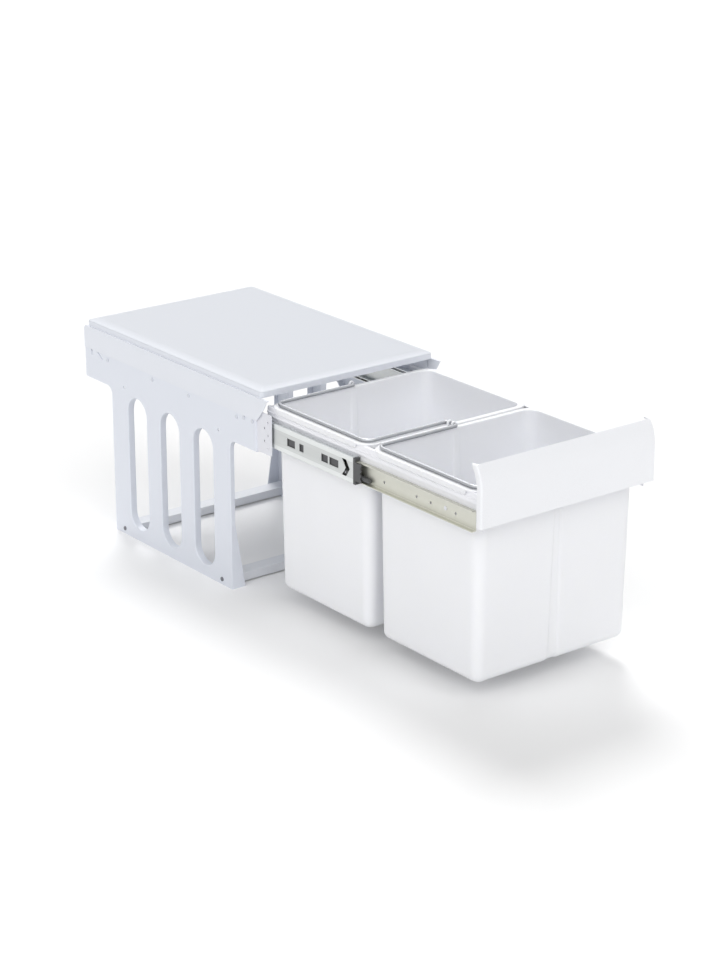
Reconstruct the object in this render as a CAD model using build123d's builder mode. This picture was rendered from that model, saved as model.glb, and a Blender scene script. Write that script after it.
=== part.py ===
from build123d import *
import os
from math import atan, degrees

# Pull-out waste bin unit for a base cabinet, drawn with its drawer fully out.
# The origin is the middle of the four base screws, on the cabinet floor.
# X runs across the unit, the drawer comes out along -Y, and +Z is up.
# Left pieces are drawn at -X and mirrored to make the right ones.

# Overall sizes in millimetres
case_width = 344.0
base_length = 344.0
case_height = 345.0
band_height = 91.0
front_overhang = 72.0
rear_overhang = 80.0
travel = 497.0
slide_drop = 55.0
overrun = 5.0
face_gap = 0.3

# Side panel
panel_wall = 2.0
rim_depth = 8.0
foot_depth = 26.0
foot_wall = 2.5
foot_rise = 110.0
top_seat_depth = 14.0
panel_corner = 4.0
notch_radius = 14.0
rear_corner = 8.0
slot_width = 56.0
slot_foot = 20.0
slot_head = 2.0
slot_pitch = 96.0
slot_count = 3
collar_wall = 2.0
collar_depth = 12.0
edge_roll = 1.2
vent_hole_radius = 2.5
vent_hole_rise = 9.0
vent_front_place = -141.0
vent_rear_place = 133.0
hook_place = 231.0
hook_drop = 39.0
hook_radius = 3.2
hook_slot = 9.0
hook_slot_width = 2.6
slit_place = 206.5
slit_drop = 43.5
slit_length = 19.0
slit_width = 2.6
slit_tilt = 36.0

# Base screws
base_hole_radius = 2.75
base_hole_inset = 14.0
base_hole_run = 224.0

# Side trim
trim_sheet = 1.2
trim_height = 39.0
trim_return = 4.0
trim_lead_top = 32.0
trim_lead_foot = 2.0
trim_bow = 2.5

# Top cover
cover_wall = 2.5
cover_inset = 2.5
cover_rise = 13.4
cover_shoulder_rise = 3.4
cover_shoulder_run = 17.0
cover_corner = 6.0
cover_front_set = 14.0
cover_rear_set = 8.5

# Slide bracket
bracket_sheet = 1.5
bracket_lead = 38.0
bracket_nose_length = 82.0
bracket_foot_gap = 0.5
bracket_nose_rise = 66.0
bracket_tail_height = 44.0
bracket_corner = 3.0
bracket_hole_radius = 1.7
bracket_hole_pitch = 10.5
bracket_hole_stagger = 9.0
bracket_hole_count = 5

# Ball-bearing slide, measured inwards from its outer face and up from its middle line
slide_thickness = 12.7
outer_half = 23.0
rail_sheet = 1.2
rail_bend = 1.5
race_bend = 0.9
ball_diameter = 3.0
ball_gap = 0.3
cage_room = 1.1
cage_sheet = 0.45
web_gap = 1.0
step_depth = 8.3
flange_short = 0.7
cage_short = 0.3
outer_length = 496.0
outer_set_back = 12.0
middle_set_back = 21.5
middle_length = 462.0
inner_length = 484.0
cage_length = 150.0
outer_cage_set = 31.0
inner_cage_set = 33.0
balls_per_row = 3
cage_hole_radius = 1.25
cage_end = 12.0

# Windows of the middle rail: start behind its front end, and length
window_height = 12.0
window_starts = (36.0, 62.0, 123.0, 145.0)
window_lengths = (22.0, 16.0, 10.5, 20.0)
arrow_start = 8.0
arrow_length = 19.0
arrow_height = 26.0
arrow_notch = 9.0

# Rail stop and release lever
stop_length = 19.0
stop_band = 5.0
stop_nose = 29.0
stop_wall = 3.2
stop_tooth = 2.6
lever_length = 58.0
lever_height = 6.0
lever_width = 5.6
lever_drop = 8.0
lever_reach = 16.0
lever_tip = 4.0
pin_radius = 2.0
running_gap = 0.05
lever_boss_radius = 4.2

# Rivets and screws
rivet_radius = 2.0
rivet_head_radius = 3.2
rivet_head = 1.0
rivet_rise = 8.5
rivet_places = (-192.0, -59.0, 47.0, 182.0)
nose_rivet_places = (-212.0, -235.0)
nose_rivet_rise = 12.0
carrier_rivet_places = (-687.0, -480.0, -310.0)
rail_hole_places = (-709.0, -653.0, -621.0, -546.0)
rail_hole_radius = 2.2
rail_hole_drop = 2.0

# Carrier rail and its crossbar
carrier_sheet = 1.2
carrier_drop = 13.0
carrier_step = 4.2
carrier_step_rise = 26.0
carrier_bend = 1.0
bead_rise = 5.25
bead_height = 3.4
bead_out = 1.1
bead_bend = 0.8
carrier_flange = 4.6
carrier_front_gap = 7.6
carrier_rear_gap = 2.0
tab_width = 26.0
tab_height = 36.0
crossbar_height = 33.0
crossbar_lip = 6.0

# Front plate
plate_half_gap = 0.8
plate_wall = 2.2
plate_height = 93.0
plate_drop = 4.0
plate_straight = 56.0
plate_lean = 13.0
plate_return = 16.0
plate_lip = 7.5
plate_front_lead = 2.0
plate_edge_roll = 1.0
plate_boss_radius = 5.0
plate_screw_radius = 2.0
plate_screw_head = 3.6
plate_screw_head_height = 2.0
plate_screw_bite = 6.0
plate_screw_rise = 20.0

# Bins
bin_side_gap = 1.9
bin_depth = 234.0
bin_pitch = 252.0
bin_front_gap = 13.0
bin_wall = 2.0
bin_floor_gap = 32.0
bin_taper = 5.0
bin_corner = 20.0
bin_foot_radius = 13.0
rim_thickness = 2.4
rim_lip = 8.5
rim_lip_wall = 1.6
rim_side = 10.5
rim_end = 6.0
rim_roll = 1.0
groove_top_half = 5.0
groove_foot_half = 10.0
groove_depth = 2.4
ear_width = 10.0
ear_thickness = 3.5

# Bails
wire_radius = 2.75
wire_gap = 0.3
wire_corner = 16.0
wire_pin_bend = 3.4
wire_side_inset = 0.5
wire_end_inset = 3.0

# Base and rear crossbars
bar_sheet = 1.2
bar_width = 28.0
bar_height = 14.0
bar_set_back = 14.0
bar_screw_radius = 2.0
bar_screw_head = 3.6
bar_screw_head_height = 1.2
bar_screw_bite = 6.0
tie_height = 36.0
tie_depth = 5.5

# Places worked out from the sizes above
half_width = case_width / 2
notch_height = case_height - band_height
slide_height = case_height - slide_drop
slot_height = notch_height - slot_foot - slot_head
half_length = base_length / 2
panel_face = half_width - trim_sheet
panel_inside = panel_face - panel_wall
panel_top = case_height - trim_sheet
panel_front = -half_length - front_overhang
panel_rear = half_length + rear_overhang
slide_face = panel_inside - bracket_sheet
carrier_face = slide_face - slide_thickness
outer_front = panel_front - outer_set_back
middle_front = outer_front + middle_set_back - travel / 2
inner_front = outer_front - travel
bracket_front = panel_front - bracket_lead
plate_face = bracket_front + plate_front_lead - travel
plate_back = plate_face + plate_wall
carrier_front = plate_back + carrier_front_gap
outer_inside = outer_half - rail_sheet
race_height = ball_diameter + 2 * ball_gap
middle_low = outer_inside - race_height
middle_high = outer_inside - cage_room
inner_half = middle_high - rail_sheet - race_height
web_start = rail_sheet + web_gap
flange_end = slide_thickness - flange_short
cage_skin = (cage_room - cage_sheet) / 2
inner_flange_start = web_start + rail_sheet + cage_skin + cage_sheet + cage_skin
outer_ball_rise = outer_inside - ball_gap - ball_diameter / 2
inner_ball_rise = middle_high - rail_sheet - ball_gap - ball_diameter / 2
outer_ball_depth = step_depth + rail_sheet / 2 + ball_gap + ball_diameter / 2
inner_ball_depth = step_depth - rail_sheet / 2 - ball_gap - ball_diameter / 2
carrier_inside = carrier_face - carrier_sheet
bin_half = carrier_inside - bin_side_gap
step_height = slide_height + carrier_step_rise
flange_height = step_height + bead_rise + bead_height + bead_rise + bead_out
rim_top = flange_height + carrier_sheet / 2 + rim_thickness
bin_foot = bin_floor_gap
bin_height = rim_top - bin_foot
bin_draft = degrees(atan(bin_taper / bin_height))
rim_half = bin_half + rim_side
rail_edge = carrier_face - carrier_sheet / 2 + carrier_step - carrier_flange - face_gap
front_bin_front = carrier_front + bin_front_gap
bin_fronts = {"front": front_bin_front, "rear": front_bin_front + bin_pitch}
carrier_rear = bin_fronts["rear"] + bin_depth + rim_end + carrier_rear_gap + carrier_sheet
wire_height = rim_top + wire_gap + wire_radius
plate_foot = slide_height - plate_drop
plate_half = slide_face - plate_half_gap
rivet_height = slide_height + rivet_rise
outer_rear = outer_front + outer_length

os.makedirs("parts", exist_ok=True)


def save(piece, name):
    """Labels a finished piece and writes its file."""
    piece.label = name
    export_step(piece, f"parts/{name}.step")


def save_pair(left, name):
    """Writes a left piece, and its mirror image as the right one."""
    save(left, f"left_{name}")
    with BuildPart() as right:
        mirror(left, about=Plane.YZ)
    save(right.part, f"right_{name}")


def side_plane(x):
    """A plane across the unit at x, with Y to the right and Z up."""
    return Plane.YZ.offset(x)


def section_plane(y, x=0.0, z=0.0):
    """A plane that looks along Y, with X to the right and Z up. It extrudes towards -Y."""
    return Plane(origin=(x, y, z), x_dir=(1, 0, 0), z_dir=(0, -1, 0))


def slide_plane(y):
    """The plane of a left slide's section, from its outer face and its middle line."""
    return section_plane(y, -slide_face, slide_height)


# Side panel: a moulded tray open inwards, with slots, collars and a wide foot flange
def panel_outline(x, shrink):
    """The panel's side outline on a plane at x, drawn in by the given wall."""
    with BuildSketch(side_plane(x)) as outline:
        with BuildLine():
            Polyline(
                (-half_length, 0),
                (half_length, 0),
                (half_length, notch_height),
                (panel_rear, notch_height),
                (panel_rear, panel_top),
                (panel_front, panel_top),
                (panel_front, notch_height),
                (-half_length, notch_height),
                close=True,
            )
        make_face()
        notches = outline.vertices().filter_by(lambda v: abs(abs(v.X) - half_length) < face_gap and v.Y > 0)
        fillet(notches, notch_radius)
        fillet(outline.vertices().sort_by(lambda v: v.X + v.Y)[-1], rear_corner)
        lower = outline.vertices().filter_by(lambda v: abs(v.X - panel_rear) < face_gap)
        fillet(lower.sort_by(Axis.Y)[0], panel_corner)
        if shrink:
            offset(amount=-shrink, kind=Kind.INTERSECTION)
    return outline.sketch


slot_middle = slot_foot + slot_height / 2

with BuildPart() as left_side_panel:
    extrude(panel_outline(-panel_face, 0.0), amount=rim_depth)
    # The rolled outer edge
    fillet(left_side_panel.faces().sort_by(Axis.X)[0].edges(), edge_roll)
    # The hollow behind the wall, open at the front of the slide zone
    extrude(panel_outline(-panel_inside, panel_wall), amount=rim_depth, mode=Mode.SUBTRACT)
    with BuildSketch(side_plane(-panel_inside)):
        zone = panel_top - notch_height - 2 * panel_wall
        with Locations((panel_front, notch_height + panel_wall + zone / 2)):
            Rectangle(2 * (panel_wall + overrun), zone)
    extrude(amount=rim_depth, mode=Mode.SUBTRACT)
    # The seat for the top cover
    with BuildSketch(Plane.XY.offset(panel_top)):
        with Locations((-panel_face, (panel_front + panel_rear - rear_corner) / 2)):
            Rectangle(top_seat_depth, panel_rear - rear_corner - panel_front, align=(Align.MIN, Align.CENTER))
    extrude(amount=-panel_wall, mode=Mode.ADD)
    # The foot flange, and the end flanges that widen towards it
    with BuildSketch(Plane.XY):
        with Locations((-panel_face, 0)):
            Rectangle(foot_depth, base_length, align=(Align.MIN, Align.CENTER))
    extrude(amount=foot_wall)
    for y in (-half_length + panel_wall, half_length):
        with BuildSketch(section_plane(y)):
            with BuildLine():
                Polyline(
                    (-panel_inside, 0),
                    (-panel_face + foot_depth, 0),
                    (-panel_face + rim_depth, foot_rise),
                    (-panel_inside, foot_rise),
                    close=True,
                )
            make_face()
        extrude(amount=panel_wall)
    # Slots with collars
    with BuildSketch(side_plane(-panel_face + panel_wall / 2)):
        with GridLocations(slot_pitch, 0, slot_count, 1):
            with Locations((0, slot_middle)):
                SlotOverall(slot_height + 2 * collar_wall, slot_width + 2 * collar_wall, rotation=90)
    extrude(amount=collar_depth - panel_wall / 2)
    with BuildSketch(side_plane(-panel_face - overrun)):
        with GridLocations(slot_pitch, 0, slot_count, 1):
            with Locations((0, slot_middle)):
                SlotOverall(slot_height, slot_width, rotation=90)
    extrude(amount=collar_depth + 2 * overrun, mode=Mode.SUBTRACT)
    rims = left_side_panel.faces().sort_by(Axis.X)[0].inner_wires().edges()
    chamfer(rims, edge_roll)
    # Holes and stamped openings in the wall
    with BuildSketch(side_plane(-panel_face - overrun)):
        with Locations(*[(y, notch_height + vent_hole_rise) for y in (vent_front_place, vent_rear_place)]):
            Circle(vent_hole_radius)
        with Locations(*[(y, rivet_height) for y in rivet_places]):
            Circle(rivet_radius)
        with Locations(*[(y, slide_height + nose_rivet_rise) for y in nose_rivet_places]):
            Circle(rivet_radius)
        with Locations((hook_place, case_height - hook_drop)):
            Circle(hook_radius)
        with Locations((hook_place, case_height - hook_drop - hook_slot / 2)):
            SlotCenterToCenter(hook_slot, hook_slot_width, rotation=90)
        with Locations((slit_place, case_height - slit_drop)):
            SlotCenterToCenter(slit_length, slit_width, rotation=slit_tilt)
        for y in (-1, 1):
            with Locations((y * (half_length - bar_set_back - bar_width / 2), foot_wall + bar_height / 2)):
                Circle(bar_screw_radius)
    extrude(amount=panel_wall + overrun, mode=Mode.SUBTRACT)
    # Holes for the base screws
    with BuildSketch(Plane.XY.offset(-overrun)):
        with Locations((-panel_face + base_hole_inset, 0)):
            with GridLocations(0, base_hole_run, 1, 2):
                Circle(base_hole_radius)
    extrude(amount=foot_wall + 2 * overrun, mode=Mode.SUBTRACT)
save_pair(left_side_panel.part, "side_panel")

# Side trim: a folded strip over the slide zone with a slanted, slightly bowed front edge
trim_foot = case_height - trim_height
trim_front_top = panel_front - trim_lead_top
trim_front_foot = panel_front - trim_lead_foot

with BuildPart() as left_side_trim:
    with BuildSketch(side_plane(-half_width)) as trim_side:
        with BuildLine():
            middle = ((trim_front_top + trim_front_foot) / 2 - trim_bow, case_height - trim_height / 2)
            ThreePointArc((trim_front_top, case_height), middle, (trim_front_foot, trim_foot))
            Polyline(
                (trim_front_foot, trim_foot),
                (panel_rear, trim_foot),
                (panel_rear, case_height),
                (trim_front_top, case_height),
            )
        make_face()
        fillet(trim_side.vertices().sort_by(lambda v: v.X + v.Y)[-1], rear_corner)
    extrude(amount=trim_sheet)
    with BuildSketch(Plane.XY.offset(case_height)):
        with Locations((-half_width, (trim_front_top + panel_rear - rear_corner) / 2)):
            Rectangle(trim_return, panel_rear - rear_corner - trim_front_top, align=(Align.MIN, Align.CENTER))
    extrude(amount=-trim_sheet)
    outer_edge = left_side_trim.edges().filter_by(Axis.Y).sort_by(lambda e: e.center().X - e.center().Z)[0]
    fillet(outer_edge, trim_sheet / 2)
save_pair(left_side_trim.part, "side_trim")

# Top cover: a shallow moulded lid with bevelled shoulders, standing on the trims
cover_half = half_width - cover_inset
cover_front = panel_front - cover_front_set
cover_rear = panel_rear - cover_rear_set
cover_length = cover_rear - cover_front
cover_middle = (cover_front + cover_rear) / 2
cover_foot = case_height
cover_top = cover_foot + cover_rise


def cover_block(shrink):
    """The cover's outer form, drawn in by the given wall."""
    wide = 2 * (cover_half - shrink)
    deep = cover_length - 2 * shrink
    corner = cover_corner - shrink
    shoulder = cover_top - shrink - cover_shoulder_rise
    with BuildPart() as block:
        with BuildSketch(Plane.XY.offset(cover_foot)):
            with Locations((0, cover_middle)):
                RectangleRounded(wide, deep, corner)
        extrude(amount=shoulder - cover_foot)
        with BuildSketch(Plane.XY.offset(shoulder)):
            with Locations((0, cover_middle)):
                RectangleRounded(wide, deep, corner)
        with BuildSketch(Plane.XY.offset(cover_top - shrink)):
            with Locations((0, cover_middle)):
                RectangleRounded(wide - 2 * cover_shoulder_run, deep - 2 * cover_shoulder_run, corner)
        loft(ruled=True)
    return block.part


cover_hollow = cover_block(cover_wall)

with BuildPart() as top_cover:
    add(cover_block(0.0))
    add(cover_hollow, mode=Mode.SUBTRACT)
save(top_cover.part, "top_cover")

# Slide bracket: a steel plate behind the panel, deeper at its perforated nose
bracket_foot = notch_height + panel_wall + bracket_foot_gap
nose_rear = bracket_front + bracket_nose_length
tail_foot = slide_height - bracket_tail_height / 2

with BuildPart() as left_slide_bracket:
    with BuildSketch(side_plane(-panel_inside)) as plate:
        with BuildLine():
            Polyline(
                (bracket_front, bracket_foot),
                (nose_rear, bracket_foot),
                (nose_rear + (tail_foot - bracket_foot), tail_foot),
                (outer_rear, tail_foot),
                (outer_rear, tail_foot + bracket_tail_height),
                (nose_rear, tail_foot + bracket_tail_height),
                (nose_rear, bracket_foot + bracket_nose_rise),
                (bracket_front, bracket_foot + bracket_nose_rise),
                close=True,
            )
        make_face()
        fronts = plate.vertices().filter_by(lambda v: abs(v.X - bracket_front) < face_gap)
        fillet(fronts, bracket_corner)
        for n in range(bracket_hole_count):
            lean = bracket_hole_stagger * (1 + n % 2)
            rise = bracket_foot + bracket_hole_pitch * (n + 1)
            with Locations((bracket_front + lean, rise)):
                Circle(bracket_hole_radius, mode=Mode.SUBTRACT)
        with Locations(*[(y, rivet_height) for y in rivet_places]):
            Circle(rivet_radius, mode=Mode.SUBTRACT)
        with Locations(*[(y, slide_height + nose_rivet_rise) for y in nose_rivet_places]):
            Circle(rivet_radius, mode=Mode.SUBTRACT)
    extrude(amount=bracket_sheet)
save_pair(left_slide_bracket.part, "slide_bracket")

# Outer rail: a plain channel that opens inwards
outer_line = outer_half - rail_sheet / 2

with BuildPart() as left_outer_rail:
    with BuildSketch(slide_plane(outer_rear)):
        with BuildLine():
            FilletPolyline(
                (flange_end, outer_line),
                (rail_sheet / 2, outer_line),
                (rail_sheet / 2, -outer_line),
                (flange_end, -outer_line),
                radius=rail_bend,
            )
        trace(line_width=rail_sheet)
    extrude(amount=outer_length)
    with BuildSketch(side_plane(-slide_face - overrun)):
        with Locations(*[(y, rivet_height) for y in rivet_places if y > outer_front]):
            Circle(rivet_radius)
    extrude(amount=rail_sheet + 2 * overrun, mode=Mode.SUBTRACT)
save_pair(left_outer_rail.part, "outer_rail")

# Middle rail: stepped flanges carry one row of balls outside and one inside
high_line = middle_high - rail_sheet / 2
low_line = middle_low - rail_sheet / 2
web_line = web_start + rail_sheet / 2
middle_rear = middle_front + middle_length

with BuildPart() as left_middle_rail:
    with BuildSketch(slide_plane(middle_rear)):
        with BuildLine():
            FilletPolyline(
                (flange_end, low_line),
                (step_depth, low_line),
                (step_depth, high_line),
                (web_line, high_line),
                (web_line, -high_line),
                (step_depth, -high_line),
                (step_depth, -low_line),
                (flange_end, -low_line),
                radius=race_bend,
            )
        trace(line_width=rail_sheet)
    extrude(amount=middle_length)
    # Windows, and the arrow-shaped opening near the front end
    with BuildSketch(side_plane(-slide_face - overrun)):
        for start, length in zip(window_starts, window_lengths):
            with Locations((middle_front + start + length / 2, slide_height)):
                Rectangle(length, window_height)
        with BuildLine():
            Polyline(
                (middle_front + arrow_start + arrow_length, slide_height + arrow_height / 2),
                (middle_front + arrow_start + arrow_notch, slide_height + arrow_height / 2),
                (middle_front + arrow_start, slide_height),
                (middle_front + arrow_start + arrow_notch, slide_height - arrow_height / 2),
                (middle_front + arrow_start + arrow_length, slide_height - arrow_height / 2),
                (middle_front + arrow_start + arrow_length - arrow_notch, slide_height),
                close=True,
            )
        make_face()
    extrude(amount=web_start + rail_sheet + 2 * overrun - (overrun - rail_sheet), mode=Mode.SUBTRACT)
save_pair(left_middle_rail.part, "middle_rail")

# Rail stop: a black cap round the front end of the middle rail, open for the inner rail
with BuildPart() as left_rail_stop:
    with BuildSketch(slide_plane(middle_front - face_gap)):
        with Locations((web_start, 0)):
            Rectangle(flange_end - web_start, 2 * middle_high, align=(Align.MIN, Align.CENTER))
        with Locations((web_start + stop_wall / 2, 0)):
            Rectangle(slide_thickness, 2 * (inner_half + stop_wall / 2), align=(Align.MIN, Align.CENTER),
                      mode=Mode.SUBTRACT)
    extrude(amount=stop_length)
    # In front of its band only the outer wall goes on, and lower
    with BuildSketch(slide_plane(middle_front - face_gap - stop_band)):
        Rectangle(2 * slide_thickness, 2 * outer_half)
        Rectangle(2 * slide_thickness, stop_nose, mode=Mode.SUBTRACT)
    extrude(amount=stop_length, mode=Mode.SUBTRACT)
    with BuildSketch(side_plane(-slide_face)):
        tooth_front = middle_front - face_gap - stop_length
        for n in (-1, 0, 1):
            with Locations((tooth_front, slide_height + n * inner_half / 2)):
                Circle(stop_tooth)
    extrude(amount=web_start + stop_wall, mode=Mode.SUBTRACT)
save_pair(left_rail_stop.part, "rail_stop")

# Inner rail: a channel that opens outwards, its web against the carrier rail
inner_line = inner_half - rail_sheet / 2
inner_web = slide_thickness - rail_sheet / 2
inner_rear = inner_front + inner_length
lever_pivot = middle_front - stop_length - lever_reach + lever_length
lever_middle = slide_height - lever_drop

with BuildPart() as left_inner_rail:
    with BuildSketch(slide_plane(inner_rear)):
        with BuildLine():
            FilletPolyline(
                (inner_flange_start, inner_line),
                (inner_web, inner_line),
                (inner_web, -inner_line),
                (inner_flange_start, -inner_line),
                radius=rail_bend,
            )
        trace(line_width=rail_sheet)
    extrude(amount=inner_length)
    with BuildSketch(side_plane(-carrier_face + overrun)):
        with Locations(*[(y, slide_height - rail_hole_drop) for y in rail_hole_places]):
            Circle(rail_hole_radius)
        with Locations(*[(y, slide_height) for y in carrier_rivet_places]):
            Circle(rivet_radius)
        with Locations((lever_pivot, lever_middle)):
            Circle(pin_radius)
    extrude(amount=-rail_sheet - 2 * overrun, mode=Mode.SUBTRACT)
save_pair(left_inner_rail.part, "inner_rail")


# Ball cages: thin channels with a row of holes that hold the balls
def cage(front, web, rise, reach, ball_depth):
    """A cage from its front end, web depth, flange height and flange reach."""
    with BuildPart() as body:
        with BuildSketch(slide_plane(front + cage_length)):
            with BuildLine():
                FilletPolyline((reach, rise), (web, rise), (web, -rise), (reach, -rise), radius=cage_sheet)
            trace(line_width=cage_sheet)
        extrude(amount=cage_length)
        with BuildSketch(Plane.XY.offset(slide_height - outer_half)):
            with Locations(*[(-slide_face + ball_depth, y) for y in ball_rows(front)]):
                Circle(cage_hole_radius)
        extrude(amount=2 * outer_half, mode=Mode.SUBTRACT)
    return body.part


def ball_rows(front):
    """The places of one row of balls along a cage."""
    pitch = (cage_length - 2 * cage_end) / (balls_per_row - 1)
    return [front + cage_end + n * pitch for n in range(balls_per_row)]


def balls(front, depth, rise):
    """Both rows of balls in a cage."""
    with BuildPart() as rows:
        for y in ball_rows(front):
            for z in (slide_height - rise, slide_height + rise):
                with Locations((-slide_face + depth, y, z)):
                    Sphere(ball_diameter / 2)
    return rows.part


outer_cage_front = outer_front + outer_cage_set
inner_cage_front = middle_front + inner_cage_set
outer_cage_web = rail_sheet + web_gap / 2
outer_cage_rise = outer_inside - cage_room / 2
inner_cage_web = web_start + rail_sheet + cage_skin + cage_sheet / 2
inner_cage_rise = inner_ball_rise + ball_diameter / 2 - cage_sheet / 2
inner_cage_reach = step_depth - rail_sheet / 2 - ball_gap / 2

outer_cage_reach = slide_thickness - cage_short
save_pair(cage(outer_cage_front, outer_cage_web, outer_cage_rise, outer_cage_reach, outer_ball_depth), "outer_cage")
save_pair(cage(inner_cage_front, inner_cage_web, inner_cage_rise, inner_cage_reach, inner_ball_depth), "inner_cage")
save_pair(balls(outer_cage_front, outer_ball_depth, outer_ball_rise), "outer_balls")
save_pair(balls(inner_cage_front, inner_ball_depth, inner_ball_rise), "inner_balls")

# Release lever: a black tongue on a pin inside the inner rail's channel
lever_outside = inner_flange_start + face_gap

with BuildPart() as left_release_lever:
    with BuildSketch(side_plane(-slide_face + lever_outside)) as tongue:
        with BuildLine():
            Polyline(
                (lever_pivot, lever_middle + lever_height / 2),
                (lever_pivot - lever_length + lever_tip, lever_middle + lever_height / 2),
                (lever_pivot - lever_length, lever_middle),
                (lever_pivot - lever_length, lever_middle - lever_height / 2),
                (lever_pivot, lever_middle - lever_height / 2),
                close=True,
            )
        make_face()
        with Locations((lever_pivot, lever_middle)):
            Circle(lever_boss_radius)
            Circle(pin_radius + running_gap, mode=Mode.SUBTRACT)
    extrude(amount=lever_width)
save_pair(left_release_lever.part, "release_lever")

# Carrier rail: a folded strip beside the bins, with a step, a bead and a shelf for the rims
carrier_line = -(carrier_face - carrier_sheet / 2)
step_line = carrier_line - carrier_step
carrier_length = carrier_rear - carrier_front
tab_middle = slide_height + tab_height / 2

with BuildPart() as left_carrier_rail:
    with BuildSketch(section_plane(carrier_rear)):
        bead_foot = step_height + bead_rise
        bead_top = bead_foot + bead_height
        with BuildLine():
            FilletPolyline(
                (carrier_line, slide_height - carrier_drop),
                (carrier_line, step_height),
                (step_line, step_height),
                (step_line, bead_foot),
                (step_line - bead_out, bead_foot + bead_out),
                (step_line - bead_out, bead_top - bead_out),
                (step_line, bead_top),
                (step_line, flange_height),
                (step_line + carrier_flange, flange_height),
                radius=[carrier_bend] * 2 + [bead_bend] * 4 + [carrier_bend],
            )
        trace(line_width=carrier_sheet)
    extrude(amount=carrier_length)
    # The front tab that carries the plate
    with BuildSketch(section_plane(carrier_front + carrier_sheet)):
        with Locations((-carrier_face, tab_middle)):
            Rectangle(tab_width, tab_height, align=(Align.MIN, Align.CENTER))
        with Locations((-carrier_face + tab_width / 2, tab_middle)):
            with GridLocations(0, plate_screw_rise, 1, 2):
                Circle(plate_screw_radius + running_gap, mode=Mode.SUBTRACT)
    extrude(amount=carrier_sheet)
    with BuildSketch(side_plane(-carrier_face - overrun)):
        with Locations(*[(y, slide_height - rail_hole_drop) for y in rail_hole_places]):
            Circle(rail_hole_radius)
        with Locations(*[(y, slide_height) for y in carrier_rivet_places]):
            Circle(rivet_radius)
        with Locations((lever_pivot, lever_middle)):
            Circle(pin_radius)
    extrude(amount=carrier_sheet + 2 * overrun, mode=Mode.SUBTRACT)
save_pair(left_carrier_rail.part, "carrier_rail")

# Rear crossbar of the carrier: a strip between the two rails with a stiffening lip
crossbar_top = flange_height - carrier_sheet

with BuildPart() as rear_carrier_crossbar:
    with BuildSketch(section_plane(carrier_rear)):
        with Locations((0, crossbar_top - crossbar_height / 2)):
            Rectangle(2 * carrier_inside, crossbar_height)
    extrude(amount=carrier_sheet)
    with BuildSketch(Plane.XY.offset(crossbar_top - crossbar_height)):
        with Locations((0, carrier_rear)):
            Rectangle(2 * carrier_inside, crossbar_lip, align=(Align.CENTER, Align.MAX))
    extrude(amount=carrier_sheet)
save(rear_carrier_crossbar.part, "rear_carrier_crossbar")

# Front plate: a tray whose face leans back at the top, open towards the bins
plate_top = plate_foot + plate_height
plate_bend = plate_foot + plate_straight
lean_rise = plate_top - plate_bend
lean_radius = (plate_lean**2 + lean_rise**2) / (2 * plate_lean)


def plate_side(inset, y_back):
    """The plate's side profile, drawn in by a wall, out to a depth behind its face."""
    radius = lean_radius - inset
    lean_middle = plate_face + lean_radius
    top = plate_top
    back = lean_middle - (radius**2 - (top - plate_bend) ** 2) ** 0.5
    half_turn = (top - plate_bend) / 2
    halfway = lean_middle - (radius**2 - half_turn**2) ** 0.5
    face = plate_face + inset
    foot = plate_foot + inset
    with BuildLine() as line:
        Line((face, foot), (face, plate_bend))
        ThreePointArc((face, plate_bend), (halfway, plate_bend + half_turn), (back, top))
        Polyline((back, top), (back + y_back, top), (face + y_back, plate_bend), (face + y_back, foot), (face, foot))
    return line.line


with BuildPart() as front_plate:
    with BuildSketch(side_plane(-plate_half)):
        add(plate_side(0.0, plate_return))
        make_face()
    extrude(amount=2 * plate_half)
    fillet(front_plate.edges().filter_by(Axis.X).sort_by(Axis.Z)[-2:], plate_edge_roll)
    ends = front_plate.faces().filter_by(Axis.X).edges().group_by(Axis.Y)[0]
    fillet(ends, plate_edge_roll)
    with BuildSketch(side_plane(-plate_half + plate_wall)):
        add(plate_side(plate_wall, plate_return + overrun))
        make_face()
    extrude(amount=2 * (plate_half - plate_wall), mode=Mode.SUBTRACT)
    # The foot lip is cut back to clear the carrier rails
    with BuildSketch(Plane.XY.offset(plate_foot - overrun)):
        with Locations((0, plate_face + plate_lip)):
            Rectangle(2 * (plate_half - plate_wall), plate_return, align=(Align.CENTER, Align.MIN))
    extrude(amount=plate_wall + 2 * overrun, mode=Mode.SUBTRACT)
    # Screw bosses behind the face
    with BuildSketch(section_plane(carrier_front - face_gap)):
        for side in (-1, 1):
            with Locations((side * (carrier_face - tab_width / 2), tab_middle)):
                with GridLocations(0, plate_screw_rise, 1, 2):
                    Circle(plate_boss_radius)
    extrude(amount=carrier_front - face_gap - plate_back + plate_wall / 2)
    with BuildSketch(section_plane(carrier_front)):
        for side in (-1, 1):
            with Locations((side * (carrier_face - tab_width / 2), tab_middle)):
                with GridLocations(0, plate_screw_rise, 1, 2):
                    Circle(plate_screw_radius)
    extrude(amount=plate_screw_bite, mode=Mode.SUBTRACT)
save(front_plate.part, "front_plate")


# Bins: tapered tubs with a rolled rim, a tapered groove front and rear, and two ears
def tub_block(shrink, front, foot, top):
    """The tub's drafted form between two heights, drawn in by the given wall."""
    draw_in = shrink + bin_taper * (rim_top - foot) / bin_height
    with BuildPart() as block:
        with BuildSketch(Plane.XY.offset(foot)):
            with Locations((0, front + bin_depth / 2)):
                RectangleRounded(2 * (bin_half - draw_in), bin_depth - 2 * draw_in, bin_corner - draw_in)
        extrude(amount=top - foot, taper=-bin_draft)
        fillet(block.faces().sort_by(Axis.Z)[0].edges(), bin_foot_radius - shrink)
    return block.part


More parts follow.
